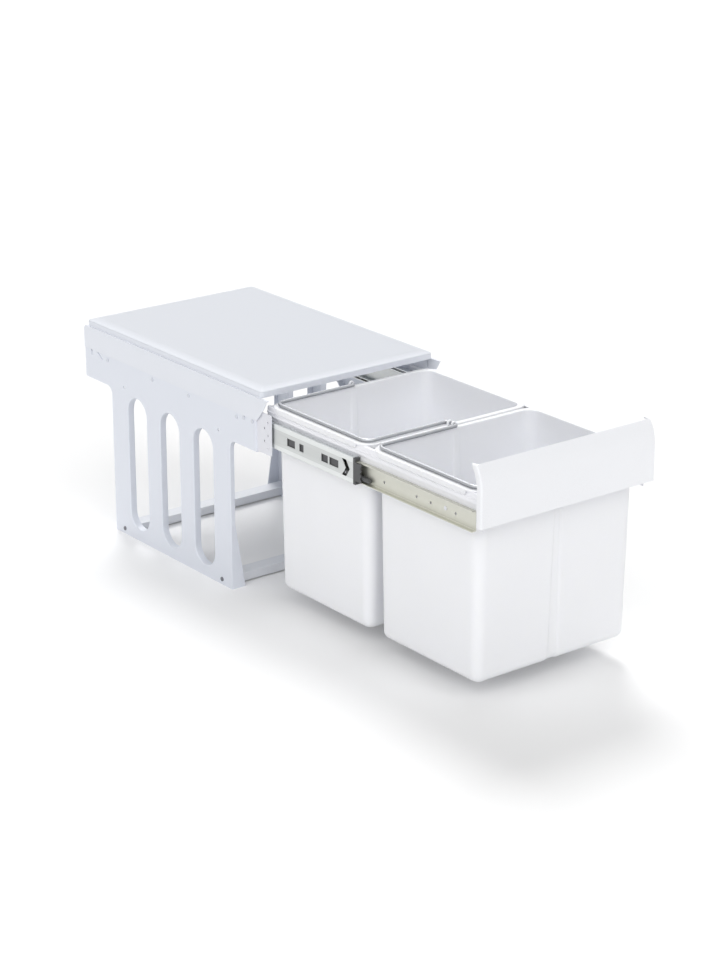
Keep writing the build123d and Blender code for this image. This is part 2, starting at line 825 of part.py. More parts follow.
def groove_block(front, outward, shrink):
    """A tapered upright wedge that presses a groove into one end wall."""
    wall = front if outward < 0 else front + bin_depth
    with BuildPart() as wedge:
        for height, half in ((bin_foot - overrun, groove_foot_half), (rim_top - rim_lip, groove_top_half)):
            share = (rim_top - height) / bin_height
            face = wall - outward * bin_taper * share
            with BuildSketch(Plane.XY.offset(height)):
                with Locations((0, face - outward * (groove_depth + shrink))):
                    deep = groove_depth + shrink + overrun
                    edge = Align.MIN if outward > 0 else Align.MAX
                    Rectangle(2 * (half + shrink), deep, align=(Align.CENTER, edge))
        loft(ruled=True)
    return wedge.part


def bin_piece(front):
    """One bin, from the place of its front wall."""
    middle = front + bin_depth / 2
    rim_depth_out = bin_depth + 2 * rim_end
    corner_run = bin_corner + rim_end
    outer = tub_block(0.0, front, bin_foot, rim_top)
    inner = tub_block(bin_wall, front, bin_foot + bin_wall, rim_top + overrun)
    grooves = [(groove_block(front, out, 0.0), groove_block(front, out, bin_wall)) for out in (-1, 1)]
    with BuildPart() as cavity:
        add(inner)
        for narrow, wide in grooves:
            add(wide, mode=Mode.SUBTRACT)
    with BuildPart() as tub:
        add(outer)
        for narrow, wide in grooves:
            add(narrow, mode=Mode.SUBTRACT)
        # The rim: a shelf all round with a turned-down lip
        with BuildSketch(Plane.XY.offset(rim_top - rim_lip)):
            with Locations((0, middle)):
                RectangleRounded(2 * rim_half, rim_depth_out, bin_corner + rim_end)
        extrude(amount=rim_lip)
        chamfer(tub.faces().sort_by(Axis.Z)[-1].edges(), rim_roll)
        with BuildSketch(Plane.XY.offset(rim_top - rim_lip)):
            with Locations((0, middle)):
                RectangleRounded(2 * (rim_half - rim_lip_wall), rim_depth_out - 2 * rim_lip_wall,
                                 bin_corner + rim_end - rim_lip_wall)
                RectangleRounded(2 * bin_half - bin_taper * rim_lip / bin_height,
                                 bin_depth - bin_taper * rim_lip / bin_height, bin_corner, mode=Mode.SUBTRACT)
        extrude(amount=rim_lip - rim_thickness, mode=Mode.SUBTRACT)
        # The lip stops short of the corners, where the carrier rails pass under the rim
        with BuildSketch(Plane.XY.offset(rim_top - rim_lip - overrun)):
            with Locations((0, middle)):
                with GridLocations(2 * (rail_edge + rim_half), rim_depth_out - corner_run, 2, 2):
                    Rectangle(2 * rim_half, corner_run)
        extrude(amount=rim_lip - rim_thickness + overrun, mode=Mode.SUBTRACT)
        # The ears that hold the bail
        for outward in (-1, 1):
            ear_face = middle + outward * rim_depth_out / 2
            near = max(ear_face, ear_face - outward * ear_thickness)
            with BuildSketch(section_plane(near)):
                with Locations((0, wire_height)):
                    Circle(ear_width / 2)
                with Locations((0, wire_height)):
                    Rectangle(ear_width, wire_height - rim_top + rim_thickness, align=(Align.CENTER, Align.MAX))
            extrude(amount=ear_thickness)
        add(cavity.part, mode=Mode.SUBTRACT)
        with BuildSketch(section_plane(middle + bin_depth)):
            with Locations((0, wire_height)):
                Circle(wire_radius + running_gap)
        extrude(amount=2 * bin_depth, mode=Mode.SUBTRACT)
    return tub.part


def bail_piece(front):
    """A wire bail folded to the left, its ends bent outwards into the bin's ears."""
    side = -(bin_half + wire_side_inset)
    near = front + wire_end_inset
    far = front + bin_depth - wire_end_inset
    tip = rim_end + wire_end_inset
    with BuildPart() as wire:
        with BuildLine() as path:
            FilletPolyline(
                (0, near - tip, wire_height),
                (0, near, wire_height),
                (side, near, wire_height),
                (side, far, wire_height),
                (0, far, wire_height),
                (0, far + tip, wire_height),
                radius=[wire_pin_bend, wire_corner, wire_corner, wire_pin_bend],
            )
        with BuildSketch(section_plane(near - tip, 0, wire_height)):
            Circle(wire_radius)
        sweep(path=path.line)
    return wire.part


for end, place in bin_fronts.items():
    save(bin_piece(place), f"{end}_bin")
    save(bail_piece(place), f"{end}_bin_bail")


# Base crossbars: upturned trays that stand on the foot flanges
def base_bar(front):
    """A crossbar from the place of its front face."""
    with BuildPart() as bar:
        with BuildSketch(Plane.XY.offset(foot_wall)):
            with Locations((0, front)):
                Rectangle(2 * panel_inside, bar_width, align=(Align.CENTER, Align.MIN))
        extrude(amount=bar_height)
        with BuildSketch(Plane.XY.offset(foot_wall)):
            with Locations((0, front + bar_sheet)):
                Rectangle(2 * (panel_inside - bar_sheet), bar_width - 2 * bar_sheet,
                          align=(Align.CENTER, Align.MIN))
        extrude(amount=bar_height - bar_sheet, mode=Mode.SUBTRACT)
        with BuildSketch(side_plane(-panel_inside - overrun)):
            with Locations((front + bar_width / 2, foot_wall + bar_height / 2)):
                Circle(bar_screw_radius)
        extrude(amount=2 * (panel_inside + overrun), mode=Mode.SUBTRACT)
    return bar.part


front_bar = -half_length + bar_set_back
rear_bar = half_length - bar_set_back - bar_width
save(base_bar(front_bar), "front_base_crossbar")
save(base_bar(rear_bar), "rear_base_crossbar")

# Rear top crossbar: a channel between the panels behind the carrier
tie_top = panel_top - rear_corner
tie_rear = panel_rear - panel_wall

with BuildPart() as rear_top_crossbar:
    with BuildSketch(section_plane(tie_rear)):
        with Locations((0, tie_top)):
            Rectangle(2 * panel_inside, tie_height, align=(Align.CENTER, Align.MAX))
    extrude(amount=tie_depth)
    with BuildSketch(section_plane(tie_rear - bar_sheet)):
        with Locations((0, tie_top - bar_sheet)):
            Rectangle(2 * panel_inside, tie_height - 2 * bar_sheet, align=(Align.CENTER, Align.MAX))
    extrude(amount=tie_depth, mode=Mode.SUBTRACT)
save(rear_top_crossbar.part, "rear_top_crossbar")


# Fasteners
def rivet(place, outward, head, grip):
    """A rivet: the seat of its head, the way its head faces, its head height and its grip."""
    seat = Plane(origin=place, z_dir=outward)
    with BuildPart() as body:
        with BuildSketch(seat):
            Circle(rivet_head_radius)
        extrude(amount=head)
        with BuildSketch(seat):
            Circle(rivet_radius)
        extrude(amount=-grip)
    return body.part


def screw(place, outward, radius, head_radius, head, grip):
    """A pan-head screw from the seat of its head."""
    seat = Plane(origin=place, z_dir=outward)
    with BuildPart() as body:
        with BuildSketch(seat):
            Circle(head_radius)
        extrude(amount=head)
        with BuildSketch(seat):
            Circle(radius)
        extrude(amount=-grip)
    return body.part


def both_sides(pieces):
    """The pieces and their mirror images as one group of separate solids."""
    with BuildPart() as group:
        for piece in pieces:
            add(piece)
            mirror(piece, about=Plane.YZ)
    return group.part


slide_grip = panel_wall + bracket_sheet + rail_sheet
slide_rivets = [rivet((-panel_face, y, rivet_height), (-1, 0, 0), rivet_head, slide_grip) for y in rivet_places]
nose_grip = panel_wall + bracket_sheet
for y in nose_rivet_places:
    slide_rivets.append(rivet((-panel_face, y, slide_height + nose_rivet_rise), (-1, 0, 0), rivet_head, nose_grip))
save(both_sides(slide_rivets), "slide_rivets")

bar_screws = []
for y in (front_bar + bar_width / 2, rear_bar + bar_width / 2):
    seat = (-panel_face, y, foot_wall + bar_height / 2)
    bar_screws.append(screw(seat, (-1, 0, 0), bar_screw_radius, bar_screw_head, bar_screw_head_height, bar_screw_bite))
save(both_sides(bar_screws), "crossbar_screws")

plate_screws = []
for side in (-1, 1):
    seat = (-carrier_face + tab_width / 2, carrier_front + carrier_sheet, tab_middle + side * plate_screw_rise / 2)
    plate_screws.append(screw(seat, (0, 1, 0), plate_screw_radius, plate_screw_head, plate_screw_head_height,
                              carrier_sheet + plate_screw_bite))
save(both_sides(plate_screws), "plate_screws")

rail_grip = rail_sheet + carrier_sheet
carrier_rivets = [rivet((-carrier_face - rail_sheet, y, slide_height), (-1, 0, 0), rivet_head, rail_grip)
                  for y in carrier_rivet_places]
save(both_sides(carrier_rivets), "carrier_rivets")

pin_start = lever_outside - face_gap / 2
with BuildPart() as left_pin:
    with BuildSketch(Plane(origin=(-slide_face + pin_start, lever_pivot, lever_middle), z_dir=(1, 0, 0))):
        Circle(pin_radius)
    extrude(amount=slide_thickness + carrier_sheet - pin_start)
save(both_sides([left_pin.part]), "lever_pins")

volume = (2 * bin_half - bin_taper) * (bin_depth - bin_taper) * bin_height / 1e6
print(f"bin volume about {volume:.1f} litres")
print(f"overall depth out {carrier_rear - plate_face:.0f}, plate face {plate_face:.1f}, rim top {rim_top:.1f}")
print(f"bin foot {bin_foot:.1f}, wire height {wire_height:.2f}, carrier rear {carrier_rear:.1f}")
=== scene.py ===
from math import cos, pi, radians, sin

import bmesh
import bpy
import numpy as np
from mathutils import Matrix, Vector


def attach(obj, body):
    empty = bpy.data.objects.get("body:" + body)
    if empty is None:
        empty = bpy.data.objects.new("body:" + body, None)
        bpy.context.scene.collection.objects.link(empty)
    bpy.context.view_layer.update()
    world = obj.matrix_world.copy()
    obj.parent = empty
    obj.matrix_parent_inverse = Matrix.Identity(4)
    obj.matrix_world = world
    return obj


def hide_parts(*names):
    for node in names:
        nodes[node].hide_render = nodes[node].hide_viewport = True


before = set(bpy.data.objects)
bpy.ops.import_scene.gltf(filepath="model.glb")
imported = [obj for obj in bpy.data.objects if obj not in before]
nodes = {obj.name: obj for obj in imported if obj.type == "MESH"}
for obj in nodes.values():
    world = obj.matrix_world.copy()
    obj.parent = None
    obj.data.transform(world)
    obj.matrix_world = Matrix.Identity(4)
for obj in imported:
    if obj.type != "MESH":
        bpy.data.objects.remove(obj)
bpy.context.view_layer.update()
mm = 0.001
print("frame loaded:", len(nodes), "nodes")

# Colours are linear values, as Blender's sockets take them
paint = {
    "housing": (0.80, 0.83, 0.90),
    "trim": (0.82, 0.845, 0.905),
    # painted shade: the lid's tone is darker than its white plastic, to offset the stronger light on its
    # top
    "cover": (0.59, 0.61, 0.655),
    "plate": (0.945, 0.955, 0.985),
    "bin": (0.935, 0.945, 0.98),
    "enamel": (0.84, 0.86, 0.90),
    # painted light: a paler copy of the white enamel, which lifts the shade under the bins' rims
    "carrier": (0.94, 0.945, 0.985),
    # painted shade: a slightly darker copy of the white enamel, for the shade the bracket stands in
    "bracket": (0.80, 0.81, 0.86),
    "steel": (0.74, 0.755, 0.76),
    "middleRail": (0.70, 0.72, 0.715),
    "zinc": (0.62, 0.62, 0.56),
    "cage": (0.10, 0.10, 0.105),
    "wire": (0.40, 0.41, 0.43),
    "screw": (0.62, 0.63, 0.66),
    "rivet": (0.60, 0.62, 0.67),
    "darkScrew": (0.20, 0.20, 0.22),
    "black": (0.075, 0.077, 0.080),
}

# What all plastics share: the noises, shares of the tone and of the dust, then gloss and bump
plasticLook = {
    "grainDetail": 3.0, "driftDetail": 1.0, "driftRough": 0.4, "sink": 0.6, "grainShare": 0.75,
    "darker": 0.985, "paler": 1.01, "dusty": 0.86, "dust": 0.35, "dustWidth": 0.12,
    "shinier": 0.05, "duller": 0.06, "bump": 0.35, "coatRough": 0.2,
    "bleed": (1.0, 1.0, 1.1), "bleedScale": 0.003,
}

# What all metals share, in the same order, with the painted shade of a rolled band and its crease
metalLook = {
    "streakDetail": 5.0, "cloudScale": 38.0, "cloudDetail": 5.0, "cloudRough": 0.6,
    "paler": 1.06, "rubbed": 1.25, "rub": 0.4, "rubWidth": 0.10,
    "bandShade": 0.5, "creaseShade": 0.4, "crease": 0.45,
    "shinier": 0.07, "duller": 0.08, "bump": 0.18, "depth": 0.00004,
}
noiseSpan = (0.1, 0.9)  # what a noise is taken to run between
# painted highlight: the lid's side walls are painted paler than its top
coverPaintedHighlight = {"high": 0.3583, "low": 0.3522, "share": 1.34}  # the lid's side walls are paler than its top


def newGroup(name, inputs, outputs):
    # a shader node group with its sockets: each input is (name, value), and all of them are numbers
    group = bpy.data.node_groups.new(name, "ShaderNodeTree")
    for label, value in inputs:
        socket = group.interface.new_socket(label, in_out="INPUT", socket_type="NodeSocketFloat")
        socket.default_value = value
    for label in outputs:
        group.interface.new_socket(label, in_out="OUTPUT", socket_type="NodeSocketFloat")
    return group, group.nodes.new("NodeGroupInput"), group.nodes.new("NodeGroupOutput")


def mathNode(tree, operation, first, second=None, clamp=False):
    # one operation on one or two values, each a number or another node's output
    node = tree.nodes.new("ShaderNodeMath")
    node.operation = operation
    node.use_clamp = clamp
    for index, value in enumerate((first, second)):
        if value is None:
            continue
        if isinstance(value, (int, float)):
            node.inputs[index].default_value = value
        else:
            tree.links.new(value, node.inputs[index])
    return node.outputs[0]


def noiseNode(tree, place, scale, detail, roughness=0.5):
    # a noise's value, with its scale given as a number or by another node
    node = tree.nodes.new("ShaderNodeTexNoise")
    node.inputs["Detail"].default_value = detail
    node.inputs["Roughness"].default_value = roughness
    tree.links.new(place, node.inputs["Vector"])
    if isinstance(scale, (int, float)):
        node.inputs["Scale"].default_value = scale
    else:
        tree.links.new(scale, node.inputs["Scale"])
    return node.outputs["Fac"]


def objectPlace(tree):
    # where a point lies on its piece, in metres
    return tree.nodes.new("ShaderNodeTexCoord").outputs["Object"]


def heightOf(tree):
    # how high a point lies above the floor, in metres
    split = tree.nodes.new("ShaderNodeSeparateXYZ")
    tree.links.new(objectPlace(tree), split.inputs[0])
    return split.outputs["Z"]


def mouldGroup():
    # moulded plastic: height is fine pebbles plus broad sink marks, gloss and tone are mostly the pebbles
    # with a slight drift
    look = plasticLook
    tree, given, result = newGroup(
        "mouldedSkin", [("Grain Scale", 900.0), ("Drift Scale", 9.0)], ["Height", "Gloss", "Tone"])
    place = objectPlace(tree)
    grain = noiseNode(tree, place, given.outputs["Grain Scale"], look["grainDetail"])
    drift = noiseNode(tree, place, given.outputs["Drift Scale"], look["driftDetail"], look["driftRough"])
    sink = mathNode(tree, "MULTIPLY", drift, look["sink"])
    tree.links.new(mathNode(tree, "ADD", grain, sink), result.inputs["Height"])
    fine = mathNode(tree, "MULTIPLY", grain, look["grainShare"])
    broad = mathNode(tree, "MULTIPLY", drift, 1.0 - look["grainShare"])
    mottle = mathNode(tree, "ADD", fine, broad)
    tree.links.new(mottle, result.inputs["Gloss"])
    tree.links.new(mottle, result.inputs["Tone"])
    return tree


def drawnGroup():
    # drawn or rolled metal: streaks are a noise stretched along Y, clouds the plating, and height their sum
    look = metalLook
    tree, given, result = newGroup(
        "drawnMetal", [("Across", 900.0), ("Along", 7.0)], ["Streaks", "Clouds", "Height"])
    place = objectPlace(tree)
    stretch = tree.nodes.new("ShaderNodeCombineXYZ")
    for axis, label in (("X", "Across"), ("Y", "Along"), ("Z", "Across")):
        tree.links.new(given.outputs[label], stretch.inputs[axis])
    scaled = tree.nodes.new("ShaderNodeVectorMath")
    scaled.operation = "MULTIPLY"
    tree.links.new(place, scaled.inputs[0])
    tree.links.new(stretch.outputs[0], scaled.inputs[1])
    streaks = noiseNode(tree, scaled.outputs[0], 1.0, look["streakDetail"])
    clouds = noiseNode(tree, place, look["cloudScale"], look["cloudDetail"], look["cloudRough"])
    tree.links.new(streaks, result.inputs["Streaks"])
    tree.links.new(clouds, result.inputs["Clouds"])
    tree.links.new(mathNode(tree, "ADD", streaks, clouds), result.inputs["Height"])
    return tree


def edgeGroup():
    # how far a corner stands out (rub) or in (dust): its pointiness above or below a half, over the width
    tree, given, result = newGroup("edgeRub", [("Width", 0.06)], ["Rub", "Dust"])
    sharp = tree.nodes.new("ShaderNodeNewGeometry").outputs["Pointiness"]
    high = mathNode(tree, "SUBTRACT", sharp, 0.5)
    low = mathNode(tree, "SUBTRACT", 0.5, sharp)
    tree.links.new(mathNode(tree, "DIVIDE", high, given.outputs["Width"], True), result.inputs["Rub"])
    tree.links.new(mathNode(tree, "DIVIDE", low, given.outputs["Width"], True), result.inputs["Dust"])
    return tree


def paintedRailShadeGroup():
    # masks for painted shade on a roll-formed rail: a set-back band along its middle height, and a crease
    # where the band ends, both from the distance inside the band's edge over its softness
    tree, given, result = newGroup(
        "rollFormed", [("Middle", 0.29), ("Half", 0.012), ("Soft", 0.0007)], ["Band", "Crease"])
    rise = mathNode(tree, "ABSOLUTE", mathNode(tree, "SUBTRACT", heightOf(tree), given.outputs["Middle"]))
    inside = mathNode(tree, "SUBTRACT", given.outputs["Half"], rise)
    away = mathNode(tree, "DIVIDE", inside, given.outputs["Soft"])
    band = mathNode(tree, "MULTIPLY_ADD", away, 0.5, True)  # half strength at the band's very edge
    band.node.inputs[2].default_value = 0.5
    tree.links.new(band, result.inputs["Band"])
    near = mathNode(tree, "SUBTRACT", 1.0, mathNode(tree, "ABSOLUTE", away), True)
    tree.links.new(near, result.inputs["Crease"])
    return tree


mouldedSkin = mouldGroup()
drawnMetal = drawnGroup()
edgeRub = edgeGroup()
rollFormed = paintedRailShadeGroup()


def placeGroup(tree, group, **values):
    # a shared group placed in a material with that finish's own values
    node = tree.nodes.new("ShaderNodeGroup")
    node.node_tree = group
    for label, value in values.items():
        node.inputs[label.replace("_", " ")].default_value = value
    return node


def rangeNode(tree, source, fromSpan, toSpan):
    # a value moved in proportion from one span to another, and held at its ends
    node = tree.nodes.new("ShaderNodeMapRange")
    for label, value in zip(("From Min", "From Max", "To Min", "To Max"), (*fromSpan, *toSpan)):
        node.inputs[label].default_value = value
    tree.links.new(source, node.inputs["Value"])
    return node.outputs["Result"]


def blendColour(tree, mask, low, high):
    # the low colour where the mask is 0, the high one where it is 1
    node = tree.nodes.new("ShaderNodeMix")
    node.data_type = "RGBA"
    tree.links.new(mask, node.inputs["Factor"])
    for socket, value in ((node.inputs[6], low), (node.inputs[7], high)):
        if isinstance(value, tuple):
            socket.default_value = (*value, 1.0)
        else:
            tree.links.new(value, socket)
    return node.outputs[2]


def bump(tree, height, strength, distance):
    # a normal that leans with the slope of the height
    node = tree.nodes.new("ShaderNodeBump")
    node.inputs["Strength"].default_value = strength
    node.inputs["Distance"].default_value = distance
    tree.links.new(height, node.inputs["Height"])
    return node.outputs["Normal"]


def shaded(tone, share):
    # a colour times a share, and never more than white
    return tuple(min(1.0, channel * share) for channel in tone)


def newMaterial(name):
    # a new material with its node tree and its shader
    material = bpy.data.materials.new(name)
    material.use_nodes = True
    return material, material.node_tree, material.node_tree.nodes["Principled BSDF"]


def setGloss(tree, shader, source, rough, look):
    # roughness that runs a little to both sides of its middle value
    span = (rough - look["shinier"], rough + look["duller"])
    tree.links.new(rangeNode(tree, source, noiseSpan, span), shader.inputs["Roughness"])


def plastic(name, tone, rough, grain=900.0, depth=0.00004, clear=0.0, translucent=0.0, fade=None):
    # moulded plastic with pebbled gloss, a mottled tone and dust in its corners. A fade paints a highlight
    # that grows paler towards the foot
    look = plasticLook
    material, tree, shader = newMaterial(name)
    skin = placeGroup(tree, mouldedSkin, Grain_Scale=grain)
    edges = placeGroup(tree, edgeRub, Width=look["dustWidth"])
    darker, paler = shaded(tone, look["darker"]), shaded(tone, look["paler"])
    body = blendColour(tree, skin.outputs["Tone"], darker, paler)
    # painted highlight: paler below the fade's high point, as on the lid's side walls
    if fade:
        paintedHighlightMask = rangeNode(tree, heightOf(tree), (fade["high"], fade["low"]), (0.0, 1.0))
        body = blendColour(tree, paintedHighlightMask, body, shaded(tone, fade["share"]))
    dust = mathNode(tree, "MULTIPLY", edges.outputs["Dust"], look["dust"])
    dusted = blendColour(tree, dust, body, shaded(tone, look["dusty"]))
    tree.links.new(dusted, shader.inputs["Base Color"])
    setGloss(tree, shader, skin.outputs["Gloss"], rough, look)
    relief = bump(tree, skin.outputs["Height"], look["bump"], depth)
    tree.links.new(relief, shader.inputs["Normal"])
    shader.inputs["Coat Weight"].default_value = clear
    shader.inputs["Coat Roughness"].default_value = look["coatRough"]
    if translucent:
        shader.inputs["Subsurface Weight"].default_value = translucent
        shader.inputs["Subsurface Radius"].default_value = look["bleed"]
        shader.inputs["Subsurface Scale"].default_value = look["bleedScale"]
    return material


def metal(name, tone, rough, across=900.0, along=7.0, cloud=0.10, band=None):
    # plated or drawn steel with streaks and cloudy plating. A band is given by its half height and strength
    look = metalLook
    material, tree, shader = newMaterial(name)
    drawn = placeGroup(tree, drawnMetal, Across=across, Along=along)
    edges = placeGroup(tree, edgeRub, Width=look["rubWidth"])
    darker, paler = shaded(tone, 1.0 - cloud), shaded(tone, look["paler"])
    plated = blendColour(tree, drawn.outputs["Clouds"], darker, paler)
    # painted shade: darker along the rolled rail's set-back band, and darker still along its crease
    if band:
        rolled = placeGroup(tree, rollFormed, Half=band[0])
        middle = mathNode(tree, "MULTIPLY", rolled.outputs["Band"], band[1])
        plated = blendColour(tree, middle, plated, shaded(tone, look["bandShade"]))
        crease = mathNode(tree, "MULTIPLY", rolled.outputs["Crease"], look["crease"])
        plated = blendColour(tree, crease, plated, shaded(tone, look["creaseShade"]))
    rub = mathNode(tree, "MULTIPLY", edges.outputs["Rub"], look["rub"])
    rubbed = blendColour(tree, rub, plated, shaded(tone, look["rubbed"]))
    tree.links.new(rubbed, shader.inputs["Base Color"])
    setGloss(tree, shader, drawn.outputs["Streaks"], rough, look)
    relief = bump(tree, drawn.outputs["Height"], look["bump"], look["depth"])
    tree.links.new(relief, shader.inputs["Normal"])
    shader.inputs["Metallic"].default_value = 1.0
    return material


# Enamel and paint have a finer, shallower grain than moulded plastic, and screws have no lengthwise streaks
enamelSkin = {"grain": 1600.0, "depth": 0.00003}
glossSkin = {"grain": 1400.0, "depth": 0.00002}
turned = {"across": 600.0, "along": 600.0}
finishes = {
    "housing": plastic("housingPlastic", paint["housing"], 0.42),
    "trim": plastic("trimPaint", paint["trim"], 0.34, clear=0.15, **glossSkin),
    # the lid: painted shade darkens its top, and painted highlight makes its side walls paler
    "cover": plastic("coverPlastic", paint["cover"], 0.5, grain=700.0, fade=coverPaintedHighlight),
    "plate": plastic("plateGloss", paint["plate"], 0.28, clear=0.3, **glossSkin),
    "bin": plastic("binPlastic", paint["bin"], 0.36, grain=500.0, depth=0.00003, translucent=0.3),
    "enamel": plastic("whiteEnamel", paint["enamel"], 0.34, clear=0.1, **enamelSkin),
    # painted light: the carrier rails' enamel is paler than the crossbars' to lift the shade under the rims
    "carrier": plastic("carrierEnamel", paint["carrier"], 0.34, clear=0.1, **enamelSkin),
    # painted shade: the brackets' enamel is darker than the crossbars'
    "bracket": plastic("bracketEnamel", paint["bracket"], 0.40, **enamelSkin),
    "black": plastic("blackPlastic", paint["black"], 0.45),
    "steel": metal("platedSteel", paint["steel"], 0.32),
    # the middle and inner rails get painted shade along their rolled bands
    "middleRail": metal("middleRailSteel", paint["middleRail"], 0.40, band=(0.0122, 0.42)),
    "zinc": metal("warmZinc", paint["zinc"], 0.48, cloud=0.16, band=(0.0125, 0.10)),
    "cage": metal("cageSteel", paint["cage"], 0.42, cloud=0.2),
    "wire": metal("bailWireSteel", paint["wire"], 0.40, across=500.0, along=500.0),
    "screw": metal("screwSteel", paint["screw"], 0.26, **turned),
    "rivet": metal("rivetSteel", paint["rivet"], 0.34, **turned),
    "darkScrew": metal("darkScrewSteel", paint["darkScrew"], 0.34, **turned),
}

# Each finish and the CAD nodes that have it, without their left_ and right_
finishNodes = {
    "housing": ["side_panel"],
    "trim": ["side_trim"],
    "cover": ["top_cover"],
    "plate": ["front_plate"],
    "bin": ["front_bin", "rear_bin"],
    "enamel": ["rear_carrier_crossbar", "front_base_crossbar", "rear_base_crossbar", "rear_top_crossbar"],
    "carrier": ["carrier_rail"],
    "bracket": ["slide_bracket"],
    "black": ["rail_stop", "release_lever"],
    "steel": ["outer_rail"],
    "middleRail": ["middle_rail"],
    "zinc": ["inner_rail"],
    "cage": ["outer_cage", "inner_cage"],
    "wire": ["front_bin_bail", "rear_bin_bail"],
    "screw": ["outer_balls", "inner_balls", "plate_screws", "carrier_rivets", "lever_pins"],
    "rivet": ["slide_rivets"],
    "darkScrew": ["crossbar_screws"],
}
nodeFinish = {node: finish for finish, group in finishNodes.items() for node in group}
for name, obj in nodes.items():
    short = name.replace("left_", "").replace("right_", "")
    obj.data.materials.clear()
    obj.data.materials.append(finishes[nodeFinish[short]])
print("finishes placed")

weldGap = 1e-6  # metres: points closer together than this become one


def linked(name, data):
    # a new object in the scene, at the origin
    obj = bpy.data.objects.new(name, data)
    bpy.context.scene.collection.objects.link(obj)
    return obj


def asPiece(name, points, faces, body, finish, replaced=(), smooth=38.0):
    # one closed piece from points in millimetres and faces: doubles are merged, normals turned outwards,
    # and edges that bend by more than the smooth angle stay sharp
    mesh = bpy.data.meshes.new(name)
    mesh.from_pydata((np.asarray(points) * mm).tolist(), [], faces)
    shape = bmesh.new()
    shape.from_mesh(mesh)
    bmesh.ops.remove_doubles(shape, verts=shape.verts, dist=weldGap)
    bmesh.ops.recalc_face_normals(shape, faces=shape.faces)
    shape.to_mesh(mesh)
    shape.free()
    mesh.shade_smooth()
    mesh.set_sharp_from_angle(angle=radians(smooth))
    obj = linked(name, mesh)
    obj.data.materials.append(finishes[finish])
    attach(obj, body)
    if replaced:
        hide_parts(*replaced)


def gridFaces(rows, columns, wrap=True, closed=False, start=0):
    # quads over points numbered row by row: each joins a point, the next in its row and the two above them.
    # Wrapped, the last column meets the first, and closed, the last row does too
    row = np.arange(rows if closed else rows - 1)[:, None]
    column = np.arange(columns if wrap else columns - 1)[None, :]
    beside = (column + 1) % columns
    here, above = row * columns, (row + 1) % rows * columns
    quads = np.stack([here + column, here + beside, above + beside, above + column], -1)
    return (quads.reshape(-1, 4) + start).tolist()


def cappedGrid(grid):
    # a wrapped grid whose first and last rows are each closed by a fan of triangles to their middle point
    rows, columns = grid.shape[:2]
    points = np.concatenate([grid.reshape(-1, 3), [grid[0].mean(0)], [grid[-1].mean(0)]])
    faces = gridFaces(rows, columns)
    here = np.arange(columns)
    there = (here + 1) % columns
    last = (rows - 1) * columns
    count = rows * columns
    for middle, first, second in ((count, there, here), (count + 1, last + here, last + there)):
        faces += np.stack([np.full(columns, middle), first, second], 1).tolist()
    return points, faces


crowding = 1.9  # over 1, a ring's points crowd towards the middle of its ends


def ringPlan(cornerSteps, acrossSteps, alongSteps):
    # a rounded rectangle's points: the share of the way to its corners' centres in X and Y, and the cosine
    # and sine of the way that the wall faces. Each corner is a quarter turn, each side a straight run
    turn = np.linspace(0, pi / 2, cornerSteps, endpoint=False)
    across = np.linspace(1, -1, acrossSteps, endpoint=False)
    across = np.sign(across) * np.abs(across) ** crowding
    along = np.linspace(1, -1, alongSteps, endpoint=False)
    parts = []
    for corner, (sx, sy) in enumerate(((1, 1), (-1, 1), (-1, -1), (1, -1))):
        start = corner * pi / 2
        parts.append(np.broadcast_arrays(sx, sy, start + turn))
        if corner % 2 == 0:
            parts.append(np.broadcast_arrays(sx * across, sy, start + pi / 2))
        else:
            parts.append(np.broadcast_arrays(sx, sy * along, start + pi / 2))
    sx, sy, angle = (np.concatenate(column) for column in zip(*parts))
    return sx, sy, np.cos(angle), np.sin(angle)


def ringRows(plan, halfX, halfY, radius, height, middleY):
    # stacked rounded rectangles, one for each row of sizes: share * (half size - radius) + facing * radius
    sx, sy, cx, cy = plan
    halfX, halfY, radius, height = (np.asarray(v, float)[:, None] for v in (halfX, halfY, radius, height))
    x = sx * (halfX - radius) + cx * radius
    y = sy * (halfY - radius) + cy * radius + middleY
    return np.stack([x, y, np.broadcast_to(height, x.shape)], -1)


def smoothStep(value):
    # 0 below 0, 1 above 1, and three times the square less twice the cube between
    value = np.clip(value, 0, 1)
    return value * value * (3 - 2 * value)


# The bins, in millimetres. A flare is how much the corner radius grows, and fronts are their faces in Y
bins = {
    "half": 151.5, "depth": 234.0, "taper": 5.0, "foot": 32.0, "rim": 334.0, "wall": 2.0,
    "corner": 20.0, "cornerLoss": 0.95, "footRadius": 13.0, "roll": 1.1, "sideOut": 10.5, "endOut": 6.0,
    "topShares": (0.25, 0.6, 0.9), "topShift": 1.0, "topFlare": 4.0, "rimFlare": 6.0,
    "rimThick": 2.4, "lip": 8.5, "lipPast": 0.1, "railEdge": 153.5, "underRim": (0.4, 0.5),
    "lipSteps": ((0.45, 0.0), (0.93, 0.0), (1.0, 0.25), (1.0, 1.35), (0.93, 1.6), (0.4, 1.6), (0.0, 1.7)),
    "innerWall": {"aboveFoot": 8.0, "belowRim": 6.0, "rows": 15},
    "outerWall": {"aboveFoot": 6.0, "belowRim": 8.0, "rows": 16},
    "innerTurn": 10, "outerTurn": 11, "rollTurn": 6, "ringSteps": (14, 80, 44),
    "grooveDepth": 2.4, "grooveTop": 5.0, "grooveFoot": 10.0, "grooveEdge": 2.2,
    "grooveStart": 0.03, "grooveFade": 0.10, "endFacing": 0.9,
    "fronts": {"front": -754.2, "rear": -502.2},
}


